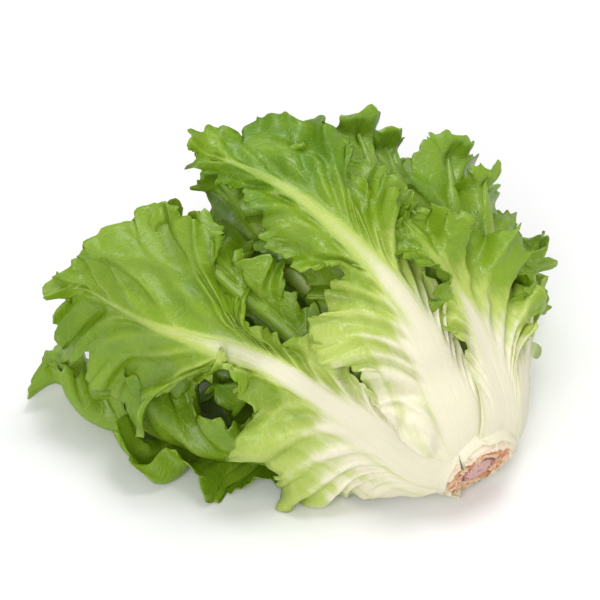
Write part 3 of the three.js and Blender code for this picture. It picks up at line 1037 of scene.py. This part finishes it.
def grow(prefixes):
    """Grows every leaf of these whorls in place of its plain leaf."""
    scene = bpy.context.scene
    common = {**sizes(scene.leaf_sizes), **COMMON}
    group = bpy.data.node_groups.get("Leaf tissue") or leaf_tissue_group()
    tree = bpy.data.node_groups.get("Leaf frill") or frill_tree()
    colours = {title: getattr(scene.paints, title.lower()) for title in ("Flesh", "Young", "Deep")}
    for number, (prefix, (slot, whorl)) in enumerate(WHORLS.items()):
        if prefix not in prefixes:
            continue
        name = slot.replace("_", " ").capitalize()
        # The middle leaves' blade colour carries painted shade for the hollow inside the head
        colours["Blade"] = getattr(scene.paints, slot)
        material = bpy.data.materials.get(name) or leaf_material(name, group, colours, GLOW[slot])
        for i, node in enumerate(sorted(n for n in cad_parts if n.startswith(prefix))):
            s = {**common, **whorl, **OVERRIDES.get(node, {})}
            leaf = make_leaf(node, s, tree, material, 100 * number + i)
            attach(leaf, "root")
            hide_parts(node)


class GrowOuterLeaves(bpy.types.Operator):
    """Grow the leaves of the two outer whorls"""

    bl_idname = "endive.outer_leaves"
    bl_label = "Grow outer leaves"

    def execute(self, context):
        grow(["outer_leaf_", "second_"])
        return {"FINISHED"}


class GrowMiddleLeaves(bpy.types.Operator):
    """Grow the leaves between the outer whorls and the heart"""

    bl_idname = "endive.middle_leaves"
    bl_label = "Grow middle leaves"

    def execute(self, context):
        grow(["third_", "fourth_", "fifth_"])
        return {"FINISHED"}


class GrowHeartLeaves(bpy.types.Operator):
    """Grow the small leaves of the heart"""

    bl_idname = "endive.heart_leaves"
    bl_label = "Grow heart leaves"

    def execute(self, context):
        grow(["sixth_", "seventh_", "heart_"])
        return {"FINISHED"}


class CutStump(bpy.types.Operator):
    """Make the stump with its cut face"""

    bl_idname = "endive.stump"
    bl_label = "Cut stump"

    def execute(self, context):
        s = context.scene.stump_sizes
        stump = make_stump(stump_material(), s.core_radius / MM)
        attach(stump, "root")
        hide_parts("stump")
        ends = make_bundle_ends(bundle_tree(), plain_material("Bundle ends", colour("#8d5548"), 0.6), s)
        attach(ends, "root")
        return {"FINISHED"}


VIEW_AZIMUTH = math.radians(-33)
VIEW_ELEVATION = math.radians(40)
VIEW_DISTANCE = 1.3
VIEW_WIDTH = 0.3243  # width of the picture at the head's middle
VIEW_TARGET = CENTRE * MM + Vector((-0.0463, 0.0905, 0.0605))
FLOOR_SIZE = 6
AIR_STRENGTH = 0.56
LAMPS_AIM = Vector((0, 0, 0.06))
LAMPS = (  # name, place, size in metres and power in watts
    ("key", (0.25, -0.10, 1.35), 0.55, 7.9),
    ("front", (-0.95, -0.95, 1.0), 0.8, 11.6),
    ("rim", (0.15, 1.10, 0.95), 0.7, 3),
)


class SetStage(bpy.types.Operator):
    """Set the floor, the lights and the camera"""

    bl_idname = "endive.stage"
    bl_label = "Set stage"

    def execute(self, context):
        scene = context.scene
        bpy.ops.mesh.primitive_plane_add(size=FLOOR_SIZE)
        floor = context.object
        floor.name = "floor"
        cover = plain_material("Floor", scene.paints.background, 0.9)
        cover.node_tree.nodes["Principled BSDF"].inputs["Specular IOR Level"].default_value = 0.1
        floor.data.materials.append(cover)
        world = bpy.data.worlds.new("Studio")
        scene.world = world
        world.use_nodes = True
        air = world.node_tree.nodes["Background"]
        air.inputs["Color"].default_value = (1, 1, 1, 1)
        air.inputs["Strength"].default_value = AIR_STRENGTH
        for name, place_at, size, power in LAMPS:
            data = bpy.data.lights.new(name, "AREA")
            data.size, data.energy = size, power
            lamp = add_object(name, data)
            lamp.location = place_at
            lamp.rotation_euler = (LAMPS_AIM - lamp.location).to_track_quat("-Z", "Y").to_euler()
        camera = add_object("camera", bpy.data.cameras.new("camera"))
        a, e = VIEW_AZIMUTH, VIEW_ELEVATION
        back = Vector((math.sin(a) * math.cos(e), -math.cos(a) * math.cos(e), math.sin(e)))
        camera.location = VIEW_TARGET + back * VIEW_DISTANCE
        camera.rotation_euler = back.to_track_quat("Z", "Y").to_euler()
        camera.data.lens = camera.data.sensor_width * VIEW_DISTANCE / VIEW_WIDTH
        scene.camera = camera
        scene.view_settings.view_transform = "Standard"
        return {"FINISHED"}


class EndivePanel(bpy.types.Panel):
    """The head's pieces, in the order that they are made"""

    bl_idname = "VIEW3D_PT_endive"
    bl_label = "Curly endive head"
    bl_space_type = "VIEW_3D"
    bl_region_type = "UI"
    bl_category = "Endive"

    def draw(self, context):
        column = self.layout.column()
        for operator in OPERATORS:
            column.operator(operator.bl_idname)


OPERATORS = (GrowOuterLeaves, GrowMiddleLeaves, GrowHeartLeaves, CutStump, SetStage)


def register():
    for item in (*SETTINGS.values(), *OPERATORS, EndivePanel):
        bpy.utils.register_class(item)
    for name, group in SETTINGS.items():
        setattr(bpy.types.Scene, name, PointerProperty(type=group))


def unregister():
    for name in SETTINGS:
        delattr(bpy.types.Scene, name)
    for item in reversed((*SETTINGS.values(), *OPERATORS, EndivePanel)):
        bpy.utils.unregister_class(item)


def main():
    register()
    bpy.ops.endive.stump()
    bpy.ops.endive.outer_leaves()
    bpy.ops.endive.middle_leaves()
    bpy.ops.endive.heart_leaves()
    bpy.ops.endive.stage()


if __name__ == "__main__":
    main()
